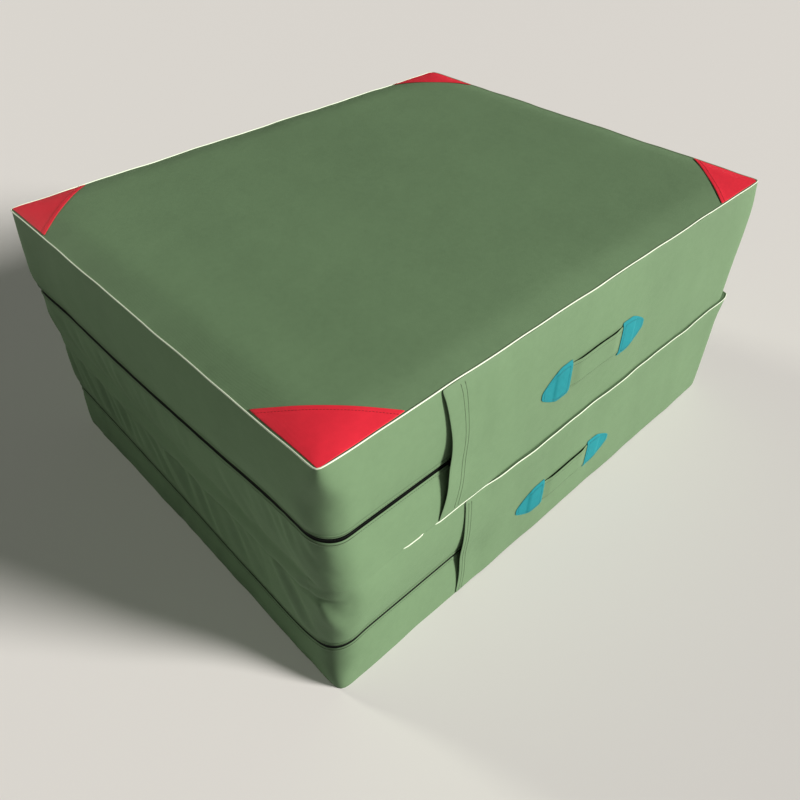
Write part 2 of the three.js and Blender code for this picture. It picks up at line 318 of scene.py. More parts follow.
def cloth_material(name, color, roughness=0.65, threads=900, mottle=0.10, crumple=0.5, specular=0.15):
    """Coated canvas: a fine weave, soft creases, and colour that fades a little in places."""
    material, tree, shader = node_material(name)
    place = add_node(tree, "ShaderNodeTexCoord").outputs["Object"]
    broad = noise(tree, place, 2.3, 4.0, 0.55)
    fine = noise(tree, place, 60.0, 4.0, 0.6)
    mixed = maths(tree, "ADD", maths(tree, "MULTIPLY", broad, 0.7), maths(tree, "MULTIPLY", fine, 0.3))
    dark, light = shaded(color, 1 - mottle), shaded(color, 1 + mottle)
    tint = ramp(tree, mixed, [(0.30, dark), (0.5, color), (0.72, light)])
    tree.links.new(tint, shader.inputs["Base Color"])
    rough = maths(tree, "ADD", maths(tree, "MULTIPLY", noise(tree, place, 14.0), 0.16), roughness - 0.08)
    tree.links.new(rough, shader.inputs["Roughness"])
    shader.inputs["Specular IOR Level"].default_value = specular
    thread_bump = add_node(tree, "ShaderNodeBump", {"Strength": 0.18, "Distance": 0.0004})
    tree.links.new(weave(tree, place, threads), thread_bump.inputs["Height"])
    crease_bump = add_node(tree, "ShaderNodeBump", {"Strength": crumple, "Distance": 0.004})
    tree.links.new(noise(tree, place, 9.0, 3.0, 0.5), crease_bump.inputs["Height"])
    tree.links.new(thread_bump.outputs["Normal"], crease_bump.inputs["Normal"])
    tree.links.new(crease_bump.outputs["Normal"], shader.inputs["Normal"])
    return material


def plain_material(name, color, roughness, metallic=0.0, grain=180.0, bump=0.15, mottle=0.08, specular=0.4):
    """Plastic, metal, thread or foam: slight colour change and a fine grain."""
    material, tree, shader = node_material(name)
    place = add_node(tree, "ShaderNodeTexCoord").outputs["Object"]
    dark, light = shaded(color, 1 - mottle), shaded(color, 1 + mottle)
    tint = ramp(tree, noise(tree, place, 18.0), [(0.3, dark), (0.7, light)])
    tree.links.new(tint, shader.inputs["Base Color"])
    rough = maths(tree, "ADD", maths(tree, "MULTIPLY", noise(tree, place, 40.0), 0.2), roughness - 0.1)
    tree.links.new(rough, shader.inputs["Roughness"])
    shader.inputs["Metallic"].default_value = metallic
    shader.inputs["Specular IOR Level"].default_value = specular
    bumps = add_node(tree, "ShaderNodeBump", {"Strength": bump, "Distance": 0.0006})
    tree.links.new(noise(tree, place, grain, 4.0, 0.6), bumps.inputs["Height"])
    tree.links.new(bumps.outputs["Normal"], shader.inputs["Normal"])
    return material


GREEN = (0.120, 0.200, 0.106)
CANVAS = cloth_material("canvas_green", GREEN)
RED = cloth_material("canvas_red", (0.68, 0.024, 0.044), roughness=0.55, mottle=0.12, specular=0.15)
TEAL = cloth_material("canvas_teal", (0.010, 0.19, 0.215), roughness=0.7, threads=500, mottle=0.16,
                      crumple=0.7, specular=0.12)
PIPING = plain_material("piping_vinyl", (0.62, 0.71, 0.56), 0.45)
ZIP_TAPE = cloth_material("zipper_tape", (0.002, 0.003, 0.002), roughness=0.8, threads=1200, crumple=0.2,
                          specular=0.05)
ZIP_COIL = plain_material("zipper_coil", (0.004, 0.006, 0.005), 0.6, specular=0.08)
ZIP_METAL = plain_material("zipper_metal", (0.035, 0.036, 0.035), 0.32, metallic=0.85)
THREAD = plain_material("thread_olive", (0.070, 0.115, 0.055), 0.7)
THREAD_RED = plain_material("thread_red", (0.36, 0.008, 0.015), 0.7)
THREAD_TEAL = plain_material("thread_teal", (0.010, 0.14, 0.155), 0.7)
SOFT_FOAM = plain_material("foam_soft", (0.75, 0.66, 0.38), 0.95, grain=260.0, bump=0.8)
FIRM_FOAM = plain_material("foam_firm", (0.68, 0.70, 0.70), 0.85, grain=420.0, bump=0.5)


# -------- the two halves

# How far each zipper wanders up or down round the hinge end: (along Y, mm)
UPPER_ZIP_DRIFT = [(-0.6, -3), (-0.5, 4), (-0.2, -10), (0, -20), (0.3, -25), (0.45, -20), (0.6, -4)]
LOWER_ZIP_DRIFT = [(-0.6, -14), (-0.5, -50), (-0.34, -52), (0, -31), (0.3, -14), (0.6, 0)]


class Half:
    """One half's sizes, read from its CAD nodes, and the shape of its cover."""

    def __init__(self, name, outer_panel, piped_top):
        self.name = name
        self.body = f"{name}_half"
        self.outer_panel = f"{name}_{outer_panel}"
        self.is_upper = piped_top
        low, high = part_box(self.outer_panel)
        inner_low, inner_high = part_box(f"{name}_inner_panel")
        self.base = min(low.z, inner_low.z)
        self.top = max(high.z, inner_high.z)
        self.hinge_x = low.x
        self.open_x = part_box(f"{name}_end_wall")[0].x
        zip_low, zip_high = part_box(f"{name}_zipper")
        self.half_width = zip_high.y
        self.zip_z = (zip_low.z + zip_high.z) / 2
        self.zip_end = zip_high.x
        self.flap_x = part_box(f"{name}_front_wall")[0].x
        self.hem_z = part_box("fold_hinge_strip")[0].z

    def zip_height(self, x, y):
        """The zipper's height, which wanders where the cover hangs loose round the hinge end."""
        x, y = np.asarray(x, float), np.asarray(y, float)
        drift = curve_through(UPPER_ZIP_DRIFT if self.is_upper else LOWER_ZIP_DRIFT, y)
        on_hinge = smooth(self.hinge_x + 80 * MM - x, 0, 75 * MM)
        return self.zip_z + drift * MM * on_hinge

    def bulge(self, x, normal, z, inset):
        """How far the cover stands out from its straight sides, in metres."""
        rise = self.top - self.base
        u = (z - self.base) / rise
        zip_u = (self.zip_z - self.base) / rise
        mid_u = (1 + zip_u) / 2
        if self.is_upper:
            hinge = [(0, 2), (0.08, 5), (zip_u / 2, 8), (zip_u - 0.05, 3), (zip_u, -1), (zip_u + 0.05, 6),
                     (mid_u, 8), (0.93, 4), (1, 2.5)]
            turned_top = [(mid_u, 9), (1, 3)]
            side = [(0, 13), (0.3, 14), (0.6, 12), (0.85, 8), (1, 3)]
            end = [(0, 25), (0.1, 22), (0.25, 18), (0.6, 22), (0.85, 18), (1, 3)]
        else:
            hinge = [(0, 10), (zip_u / 2, 9), (zip_u - 0.05, 5), (zip_u, 0), (zip_u + 0.06, 6),
                     (mid_u, 6), (0.87, 2), (1, 2)]
            turned_top = [(mid_u, 11), (1, 12)]
            side = [(0, 14), (0.25, 15), (0.6, 15), (0.85, 15), (1, 20)]
            end = [(0, 19), (0.25, 17), (0.6, 13), (0.85, 13), (1, 19)]
        turned = [(0, 12), (zip_u / 2, 9), (zip_u - 0.08, 3), (zip_u, -2), (zip_u + 0.05, 3), *turned_top]
        nx, ny = normal[:, 0], normal[:, 1]
        walled = smooth(x, self.flap_x + 50 * MM, self.flap_x + 120 * MM)
        sides = (1 - walled) * curve_through(turned, u) + walled * curve_through(side, u)
        ends = np.where(nx < 0, curve_through(hinge, u), curve_through(end, u))
        return (nx * nx * ends + ny * ny * sides) * MM * np.exp(-inset / EDGE_FADE)


def loose_folds(half, y, z):
    """Soft slanting folds of the loose cover round the hinge end, in metres outward."""
    dice = np.random.default_rng(11 if half.is_upper else 5)
    folds = np.zeros(len(y))
    middle = (half.zip_z + (half.base if half.is_upper else half.top)) / 2
    seam = half.zip_height(half.hinge_x, y)
    least = (-0.02, FOLD_LEAN[0], FOLD_WIDTH[0], 0.4)
    most = (0.02, FOLD_LEAN[1], FOLD_WIDTH[1], 1.0)
    for start in np.arange(-0.62, 0.62, FOLD_SPACING):
        place, lean, width, depth = dice.uniform(least, most)
        reach, centre = dice.uniform((FOLD_REACH[0], -0.03), (FOLD_REACH[1], 0.03))
        across = y - (start + place) - lean * (z - middle)
        along = (z - middle - centre) / reach
        folds += depth * np.exp(-(across / width) ** 2 - along ** 2) * np.sign(dice.uniform(-1, 0.15))
    below_zip = 0.35 * MM * np.sin(70 * y + 22 * z + 3 * np.sin(9 * y)) * (z < seam)
    if half.is_upper:
        return UPPER_FOLD_DEPTH * folds * smooth(seam - z, 0.01, 0.05) + below_zip + pleats(seam, y, z)
    shown = smooth(z - seam, 0.012, 0.06) * smooth(half.top - 0.02 - z, 0, 0.04)
    fades = 1 - 0.7 * smooth(y, -0.25, 0.2)
    groove = HEM_GROOVE * np.exp(-((z - half.hem_z + 5 * MM) / (6 * MM)) ** 2) * fades
    return LOWER_FOLD_DEPTH * folds * shown + 1.6 * below_zip - groove


def pleats(seam, y, z):
    """Small pleats that hang from the upper zipper near the front corner."""
    near = np.exp(-((seam - 0.045 - z) / 0.03) ** 2) * np.exp(-((y - PLEATS_AT) / 0.09) ** 2)
    return PLEAT_DEPTH * near * (np.sin(2 * math.pi * (y - 0.7 * z) / PLEAT_PITCH) - 0.6)


def spaced_lines(stops, step):
    """Lattice lines that pass through each stop."""
    lines = [stops[0]]
    for start, end in zip(stops, stops[1:]):
        count = max(1, int(round((end - start) / step)))
        lines.extend(np.linspace(start, end, count + 1)[1:])
    return np.array(lines)


def box_lattice(xs, ys, zs):
    """Vertex indices on the surface of a box lattice, and its outward quads."""
    shape = (len(xs), len(ys), len(zs))
    on_face = np.zeros(shape, bool)
    for axis in range(3):
        ends = [slice(None)] * 3
        for end in (0, -1):
            ends[axis] = end
            on_face[tuple(ends)] = True
    index = np.full(shape, -1)
    index[on_face] = np.arange(on_face.sum())
    quads = []
    for axis in range(3):
        for end in (0, -1):
            sheet = np.take(index, 0 if end == 0 else shape[axis] - 1, axis)
            corners = [sheet[:-1, :-1], sheet[1:, :-1], sheet[1:, 1:], sheet[:-1, 1:]]
            if (end == 0) == (axis != 1):
                corners.reverse()
            quads.append(np.stack([c.ravel() for c in corners], 1))
    return index, np.argwhere(on_face), np.vstack(quads)


def on_quarter_turn(u, v):
    """Moves points of a unit corner square onto quarter circles: their radius, and its parts in u and v."""
    low, high = np.minimum(u, v), np.maximum(u, v)
    turn = (1 - (high - low) / np.maximum(1 - low, 1e-9)) * math.pi / 4
    sine, cosine = np.sin(turn), np.cos(turn)
    return 1 - low, np.where(v <= u, sine, cosine), np.where(v <= u, cosine, sine)


def rounded_plan(x, y, half, radius_x, radius_y):
    """Rounds the plan's corners. Returns the moved points, plan normals and the inset from the edge."""
    px = x - half.hinge_x
    py = half.half_width - np.abs(y)
    pe = half.open_x - x
    inset = np.minimum(np.minimum(px, py), pe)
    normal = np.zeros((len(x), 2))
    on_side, on_hinge = (py <= px) & (py <= pe), (px < py) & (px <= pe)
    on_open = ~on_side & ~on_hinge
    normal[on_side, 1] = np.sign(y[on_side])
    normal[on_hinge, 0] = -1
    normal[on_open, 0] = 1
    new_x, new_y = x.copy(), y.copy()
    for end, distance, rx, ry in ((-1, px, radius_x, radius_y), (1, pe, OPEN_CORNER, OPEN_CORNER)):
        rx, ry = np.broadcast_to(rx, x.shape), np.broadcast_to(ry, x.shape)
        u, v = distance / rx, py / ry
        near = (u < 1) & (v < 1)
        radius, lean, rise = on_quarter_turn(u[near], v[near])
        sign = np.sign(y[near])
        edge = half.hinge_x if end < 0 else half.open_x
        new_x[near] = edge - end * rx[near] * (1 - radius * lean)
        new_y[near] = sign * (half.half_width - ry[near] * (1 - radius * rise))
        normal[near] = unit(np.column_stack([end * lean / rx[near], sign * rise / ry[near]]))
    return new_x, new_y, normal, inset


def cover_points(half, x, y, z):
    """The cover's designed shape before the cloth settles."""
    if half.is_upper:
        least, from_edge = TOP_CORNER_SHARE, half.top - z
    else:
        least, from_edge = BASE_CORNER_SHARE, z - half.base
    share = least + (1 - least) * smooth(from_edge, 0, CORNER_OPENS_OVER)
    radius_x, radius_y = (np.where(y < 0, *sizes) for sizes in zip(FRONT_CORNER, BACK_CORNER))
    new_x, new_y, normal, inset = rounded_plan(x, y, half, radius_x * share, radius_y * share)
    u = (z - half.base) / (half.top - half.base)
    zip_u = (half.zip_z - half.base) / (half.top - half.base)
    reach = np.where(u < zip_u, u / zip_u, (1 - u) / (1 - zip_u))
    lift = (half.zip_height(new_x, new_y) - half.zip_z) * np.sin(reach * math.pi / 2)
    new_z = z + np.where(inset < 1e-6, lift, 0)
    near_edge = np.exp(-inset / EDGE_FADE)
    along = new_x * np.abs(normal[:, 1]) + new_y * np.abs(normal[:, 0]) + 3 * normal[:, 0]
    out = half.bulge(new_x, normal, z, inset) * (1 + 0.10 * ripple(along + 0.2 * z, 1))
    if half.is_upper:
        back_corner = smooth(new_y, 0.42, 0.58) * smooth(-0.60 - new_x, 0, 0.10)
        out = out + BACK_BELLY * back_corner * np.sin(math.pi * np.clip(u * 0.9 + 0.1, 0, 1)) * near_edge
    else:
        front_base = smooth(-new_y, 0.0, 0.45) * smooth(0.45 - u, 0, 0.4) * (0.5 + 0.5 * smooth(u, 0, 0.08))
        out = out + FRONT_BASE_BELLY * np.minimum(normal[:, 0], 0) ** 2 * front_base
    facing = smooth(-normal[:, 0], 0.3, 0.95) * near_edge
    out = out + facing * loose_folds(half, new_y, new_z) * smooth(half.top - z, 0, 0.03)
    out = out + 0.8 * MM * ripple(along, 3) * near_edge * smooth(z, 0.5, 0.7)
    new_x, new_y = new_x + out * normal[:, 0], new_y + out * normal[:, 1]
    if half.is_upper:
        rise = top_rise(half, new_x, new_y, inset) + 1.2 * MM * ripple(along, 5) * near_edge
        new_z = new_z + np.where(u > 0.999, rise, 0)
    return np.column_stack([new_x, new_y, new_z])


def top_rise(half, x, y, inset):
    """How far the filled top panel stands above its piped edge."""
    corner = np.hypot(half.open_x - np.abs(x), half.half_width - np.abs(y))
    near_hinge = smooth(half.hinge_x + 0.25 - x, 0, 0.25)
    crown = (CROWN + HINGE_SIDE_CROWN * near_hinge) * (1 - np.exp(-((inset / CROWN_RUN) ** 1.5)))
    crown = crown * (1 - 0.6 * np.exp(-((corner / 0.16) ** 2)))
    swell = SWELL * np.sin(3.1 * x + 0.6) * np.cos(2.6 * y - 0.4) * smooth(inset, 0, 0.25)
    dome = DOME * (1 - (x / DOME_REACH[0]) ** 2) * (1 - (y / DOME_REACH[1]) ** 2)
    return crown + swell + dome


def settle_cloth(piece, pinned, slack, cap, pressure=3.0):
    """Lets the cover's cloth swell against its pinned seams, by a cloth simulation, up to a soft cap."""
    start = coordinates(piece)
    pins = piece.vertex_groups.new(name="pins")
    for weight in np.unique(pinned):
        if weight > 0:
            pins.add([int(i) for i in np.flatnonzero(pinned == weight)], float(weight), "REPLACE")
    loose = piece.vertex_groups.new(name="slack")
    loose.add([int(i) for i in np.flatnonzero(slack)], 1.0, "REPLACE")
    cloth = piece.modifiers.new("cloth", "CLOTH")
    settings = cloth.settings
    settings.quality = 5
    settings.mass = 0.35
    settings.tension_stiffness = settings.compression_stiffness = 12
    settings.shear_stiffness = 4
    settings.bending_stiffness = 0.4
    settings.air_damping = 3
    settings.vertex_group_mass = "pins"
    settings.pin_stiffness = 1
    settings.vertex_group_shrink = "slack"
    settings.shrink_min = 0
    settings.shrink_max = -0.03
    settings.use_pressure = True
    settings.uniform_pressure_force = pressure
    settings.effector_weights.gravity = 0
    scene = bpy.context.scene
    for number in range(1, CLOTH_FRAMES + 1):
        scene.frame_set(number)
    graph = bpy.context.evaluated_depsgraph_get()
    settled = np.zeros(len(start) * 3, np.float32)
    piece.evaluated_get(graph).data.vertices.foreach_get("co", settled)
    scene.frame_set(1)
    piece.modifiers.clear()
    move = settled.reshape(-1, 3) - start
    size = np.maximum(np.linalg.norm(move, axis=1, keepdims=True), 1e-9)
    set_coordinates(piece, start + move / size * cap * np.tanh(size / cap))


def make_cover(half):
    """The closed padded body of one half."""
    xs = spaced_lines([half.hinge_x, half.open_x], LATTICE_STEP)
    ys = spaced_lines([-half.half_width, half.half_width], LATTICE_STEP)
    hem_rows = [] if half.is_upper else np.arange(half.hem_z - 24 * MM, half.top - 4 * MM, HEM_STEP)
    stops = [half.base, half.zip_z - ZIP_GROOVE, half.zip_z, half.zip_z + ZIP_GROOVE, *hem_rows, half.top]
    zs = spaced_lines(stops, LATTICE_STEP)
    index, places, quads = box_lattice(xs, ys, zs)
    x, y, z = xs[places[:, 0]], ys[places[:, 1]], zs[places[:, 2]]
    piece = new_object(f"{half.name}_cover", cover_points(half, x, y, z), quads, CANVAS)
    level = places[:, 2]
    is_base, is_top = level == 0, level == len(zs) - 1
    is_hinge_face, is_open_face = places[:, 0] == 0, places[:, 0] == len(xs) - 1
    is_front_face, is_back_face = places[:, 1] == 0, places[:, 1] == len(ys) - 1
    sharpen_edges(piece, level, len(zs) - 1, (1.0, 1.0) if half.is_upper else (0.85, 1.0))
    is_corner = (is_open_face | is_hinge_face & half.is_upper) & (is_front_face | is_back_face) & is_top
    corner_crease = piece.data.attributes.new("crease_vert", "FLOAT", "POINT")
    corner_crease.data.foreach_set("value", is_corner.astype(np.float32))
    hidden = is_base if half.is_upper else is_base | is_top
    edge = is_base | is_top
    is_side = is_hinge_face | is_front_face | is_back_face | is_open_face
    zipped = x < half.zip_end
    pinned = np.where(hidden | edge & is_side, 1.0, 0.0)
    pinned = np.where((np.abs(z - half.zip_z) < PINNED_BY_ZIP) & zipped & is_front_face, 0.7, pinned)
    pinned = np.where((np.abs(z - half.zip_z) < 1e-6) & zipped, 0.9, pinned)
    slack = (x < half.flap_x) & ~hidden & ~edge
    settle_cloth(piece, pinned, slack, cap=SWELL_LIMIT)
    piece.modifiers.new("smooth", "SUBSURF").levels = 1
    apply_modifiers(piece)
    piece.data.set_sharp_from_angle(angle=CREASE_ANGLE)
    half.cover = piece
    half.tree = surface_tree(piece)
    points = coordinates(piece)
    half.zip_ring = points[outline_ring(index[:, :, int(np.argmin(abs(zs - half.zip_z)))])]
    half.top_ring = points[outline_ring(index[:, :, -1])]


def sharpen_edges(piece, level, last, creases):
    """Creases the edges round the bottom and the top of a cover, so that smoothing keeps them."""
    mesh = piece.data
    ends = np.zeros(len(mesh.edges) * 2, int)
    mesh.edges.foreach_get("vertices", ends)
    ends = ends.reshape(-1, 2)
    keys = {key: i for i, key in enumerate(mesh.edge_keys)}
    tops = {}
    for polygon in mesh.polygons:
        levels = level[list(polygon.vertices)]
        is_flat = levels.min() == levels.max() and levels[0] in (0, last)
        for key in polygon.edge_keys:
            tops.setdefault(keys[key], []).append(is_flat)
    weights = np.zeros(len(mesh.edges), np.float32)
    for edge, kinds in tops.items():
        if True in kinds and False in kinds:
            weights[edge] = creases[0] if level[ends[edge][0]] == 0 else creases[1]
    mesh.attributes.new("crease_edge", "FLOAT", "EDGE").data.foreach_set("value", weights)


def outline_ring(layer):
    """The lattice indices round the edge of one layer, from the hinge end's front corner."""
    front, opening, back, hinge = layer[:-1, 0], layer[-1, :-1], layer[:0:-1, -1], layer[0, :0:-1]
    return np.concatenate([front, opening, back, hinge])


def laid_cloth(name, points, normals, material, thickness, lift=0.0, subdivide=0):
    """A closed layer of cloth over a grid of surface points, shaped (rows, columns, 3)."""
    rows, columns = points.shape[:2]
    lift = np.broadcast_to(lift, (rows, columns))[..., None]
    under = (points + normals * lift).reshape(-1, 3)
    over = under + normals.reshape(-1, 3) * thickness
    count = rows * columns
    faces = grid_faces(rows, columns, first=count)
    faces += [face[::-1] for face in grid_faces(rows, columns)]
    grid = np.arange(count).reshape(rows, columns)
    rim = np.concatenate([grid[0, :-1], grid[:-1, -1], grid[-1, :0:-1], grid[:0:-1, 0]])
    for here, there in zip(rim, np.roll(rim, -1)):
        faces.append([here, there, count + there, count + here])
    piece = new_object(name, np.vstack([under, over]), faces, material)
    tidy_mesh(piece)
    if subdivide:
        piece.modifiers.new("smooth", "SUBSURF").levels = subdivide
        apply_modifiers(piece)
    return piece


def tidy_mesh(piece):
    """Merges doubled points and turns every face outward."""
    made = bmesh.new()
    made.from_mesh(piece.data)
    bmesh.ops.remove_doubles(made, verts=made.verts, dist=1e-6)
    bmesh.ops.recalc_face_normals(made, faces=made.faces)
    made.to_mesh(piece.data)
    made.free()


def cast_grid(tree, points, outward):
    """The surface under each point of a grid, seen from outside, with its normals."""
    outward = np.broadcast_to(outward, points.shape)
    flat = [cast(tree, p, o) for p, o in zip(points.reshape(-1, 3), outward.reshape(-1, 3))]
    hits = np.array([h for h, _ in flat]).reshape(points.shape)
    normals = np.array([n for _, n in flat]).reshape(points.shape)
    return hits, normals


def stitches(name, runs, material, length=5 * MM, gap=2 * MM, radius=0.6 * MM, crosswise=False):
    """Rows of stitches. Each run is (points, outward normals)."""
    ring = np.linspace(0, 2 * math.pi, 6, endpoint=False)
    profile = [(-0.5, 0.35), (-0.36, 1.0), (0.36, 1.0), (0.5, 0.35)]
    vertices, faces = [], []
    for points, normals in runs:
        spots = resample(np.hstack([points, normals]), length + gap)
        middle = (spots[:-1, :3] + spots[1:, :3]) / 2
        out = unit(spots[:-1, 3:] + spots[1:, 3:])
        along = unit(spots[1:, :3] - spots[:-1, :3])
        side = unit(np.cross(along, out))
        if crosswise:
            along, side = side, along
        body = np.array([(place * length, radius * wide * math.cos(t), radius * wide * math.sin(t))
                         for place, wide in profile for t in ring])
        placed = (middle[:, None] + along[:, None] * body[None, :, :1] + side[:, None] * body[None, :, 1:2]
                  + out[:, None] * body[None, :, 2:])
        for spot in placed:
            first = len(vertices)
            vertices.extend(spot)
            faces.extend(grid_faces(4, 6, closed_columns=True, first=first))
            faces.append([first + i for i in reversed(range(6))])
            faces.append([first + 18 + i for i in range(6)])
    return new_object(name, vertices, faces, material)


def belongs(piece, half, slot, *nodes):
    """The piece rides on a half's body, and the CAD nodes it stands for are hidden. The slot is not used."""
    if nodes:
        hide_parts(*nodes)
    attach(piece, half.body)
    return piece


# -------- side walls

def wall_plan(half, step):
    """The walled outline from the front flap, round the open end, to the back flap: points and normals."""
    y, end = half.half_width, half.open_x
    r = OPEN_CORNER
    turn = np.linspace(0, math.pi / 2, 6)
    front = np.linspace(half.flap_x, end - r, int((end - half.flap_x) / step))
    across = np.linspace(-y + r, y - r, int(2 * y / step))[1:-1]
    points = [(x, -y) for x in front[:-1]]
    normals = [(0, -1)] * len(points)
    for t in turn:
        points.append((end - r + r * math.sin(t), -y + r - r * math.cos(t)))
        normals.append((math.sin(t), -math.cos(t)))
    points += [(end, v) for v in across]
    normals += [(1, 0)] * len(across)
    for t in turn:
        points.append((end - r + r * math.cos(t), y - r + r * math.sin(t)))
        normals.append((math.cos(t), math.sin(t)))
    points += [(x, y) for x in front[-2::-1]]
    normals += [(0, 1)] * (len(front) - 1)
    return np.array(points, float), np.array(normals, float)


def highest_near(values, reach):
    """Each value's highest neighbour along a column, then smoothed: cloth stretched over hollows."""
    rows = len(values)
    padded = np.pad(values, ((reach, reach), (0, 0)), mode="edge")
    top = np.max([padded[i:i + rows] for i in range(2 * reach + 1)], axis=0)
    return smoothed(top, 2 * reach)


FLAP_RUN = 130 * MM
UPPER_WALL_SEAMS = (44 * MM, 55 * MM)  # from the flap's edge
LOWER_WALL_SEAMS = (11 * MM, 20 * MM)
# How far the flaps' edges bow along X at each height: (m, mm)
UPPER_BOW = [(0.35, -7), (0.43, 6), (0.503, 12), (0.58, 13), (0.65, 4), (0.72, -8)]
LOWER_BOW = [(0, -6), (0.10, -1), (0.2, 1), (0.35, 0)]


def make_wall(half):
    """One sheet of canvas for a half's three side walls, with a free flap at each end."""
    plan, plan_out = wall_plan(half, LATTICE_STEP)
    zs = np.linspace(half.base + 1 * MM, half.top - 1 * MM, 31)
    is_front = plan_out[:, 1] < -0.5
    run = np.where(np.abs(plan_out[:, 1]) > 0.99, plan[:, 0] - half.flap_x, 1.0)
    bow = curve_through(UPPER_BOW if half.is_upper else LOWER_BOW, zs) * MM
    shift = bow[:, None] * (1 - smooth(run, 0, FLAP_RUN))[None]
    points = np.zeros((len(zs), len(plan), 3))
    points[..., 0] = plan[None, :, 0] + shift
    points[..., 1] = plan[None, :, 1]
    points[..., 2] = zs[:, None]
    normals = np.zeros_like(points)
    normals[..., :2] = plan_out[None]
    hits, _ = cast_grid(half.tree, points, normals)
    depth = ((hits - points) * normals).sum(-1)
    near_flap = 1 - smooth(run, FLAP_RUN, FLAP_RUN + 60 * MM)
    bridged = np.maximum(highest_near(depth, 3), depth)
    near_flap = near_flap[None] * (smooth(half.top - zs, 0, 0.03) * smooth(zs - half.base, 0, 0.03))[:, None]
    depth = depth + near_flap * (bridged - depth)
    reach = np.where(zs < half.zip_z, half.zip_z - half.base, half.top - half.zip_z)
    up_down = np.clip(1 - ((zs - half.zip_z) / reach) ** 2, 0, 1) ** 1.3
    standoff = np.where(is_front, 10 * MM if half.is_upper else 3.5 * MM, 4 * MM)
    free = standoff[None] * up_down[:, None] * (1 - smooth(run, 0, FLAP_RUN))[None]
    surface = points + normals * (depth + free)[..., None]
    wall = laid_cloth(f"{half.name}_wall", surface, normals, CANVAS, WALL_CLOTH, WALL_GAP, subdivide=1)
    half.wall_tree = surface_tree(wall)
    seam_runs = []
    for distance in UPPER_WALL_SEAMS if half.is_upper else LOWER_WALL_SEAMS:
        for outward in (-1, 1):
            x = half.flap_x + bow * (1 - smooth(distance, 0, FLAP_RUN)) + distance
            row = np.column_stack([x, np.full(len(zs), outward * half.half_width), zs])
            seam_runs.append(cast_grid(half.wall_tree, row, (0, outward, 0)))
    seams = stitches(f"{half.name}_wall_seams", seam_runs, THREAD, length=6 * MM, gap=1 * MM)
    names = [f"{half.name}_{side}_wall" for side in ("front", "back", "end")]
    belongs(wall, half, "canvas", *names)
    belongs(seams, half, "canvas")


# -------- piping

def make_top_piping():
    path = smoothed(resample(UPPER.top_ring, 7 * MM, closed=True), 1, closed=True)
    path = path + plan_normals(path, closed=True) * 1.2 * MM + np.array([0, 0, 0.5 * MM])
    up = np.broadcast_to((0.0, 0.0, 1.0), path.shape)
    piping = sweep("top_piping_cord", path, up, round_section(PIPING_RADIUS), PIPING, closed=True)
    belongs(piping, UPPER, "piping", "upper_top_piping")


# Along X, where the lower half's piping comes out of the cover and where it dips under it
LIP_EMERGES = (-0.492, -0.462)
LIP_PEEPS_OUT = (-0.587, -0.552)
LIP_DIPS_AGAIN = (-0.522, -0.487)
LIP_SUNK = -6 * MM
LIP_RAISED = 0.9 * MM


def make_lip_piping():
    """The lower half's piping. It dips under the loose cover at the front near the hinge end."""
    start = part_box("lower_lip_piping")[0].x
    ring = resample(LOWER.top_ring, 7 * MM, closed=True)
    shown = ring[:, 0] > start
    first = int(np.flatnonzero(shown & ~np.roll(shown, 1))[0])
    path = np.roll(ring, -first, axis=0)[:shown.sum()]
    x, is_front = path[:, 0], path[:, 1] < 0
    seen = smooth(x, *LIP_EMERGES)
    peep = smooth(x, *LIP_PEEPS_OUT) * (1 - smooth(x, *LIP_DIPS_AGAIN)) * is_front
    lift = LIP_SUNK + (LIP_RAISED - LIP_SUNK) * np.maximum(seen, peep)
    path = path + plan_normals(path) * lift[:, None]
    up = np.broadcast_to((0.0, 0.0, 1.0), path.shape)
    piping = sweep("lip_piping_cord", path, up, round_section(PIPING_RADIUS), PIPING)
    belongs(piping, LOWER, "piping", "lower_lip_piping")


# -------- zippers

TAPE_HALF_HEIGHT = 10 * MM


def zip_path(half):
    """The run of a half's zipper, from under the front flap round the hinge end to the back flap."""
    ring = half.zip_ring[::-1]
    inside = ring[:, 0] < half.zip_end
    first = int(np.flatnonzero(inside & ~np.roll(inside, 1))[0])
    path = np.roll(ring, -first, axis=0)[:inside.sum()]
    path = smoothed(resample(path, 6 * MM), 2)
    return path, -plan_normals(path)


def rails(half, path, out, offsets):
    """Surface points at heights above and below a run, as a grid, with outward normals."""
    grid = np.repeat(path[None], len(offsets), axis=0)
    grid[..., 2] += np.array(offsets)[:, None]
    hits, _ = cast_grid(half.tree, grid, np.repeat(out[None], len(offsets), axis=0))
    return hits, np.repeat(out[None], len(offsets), axis=0)


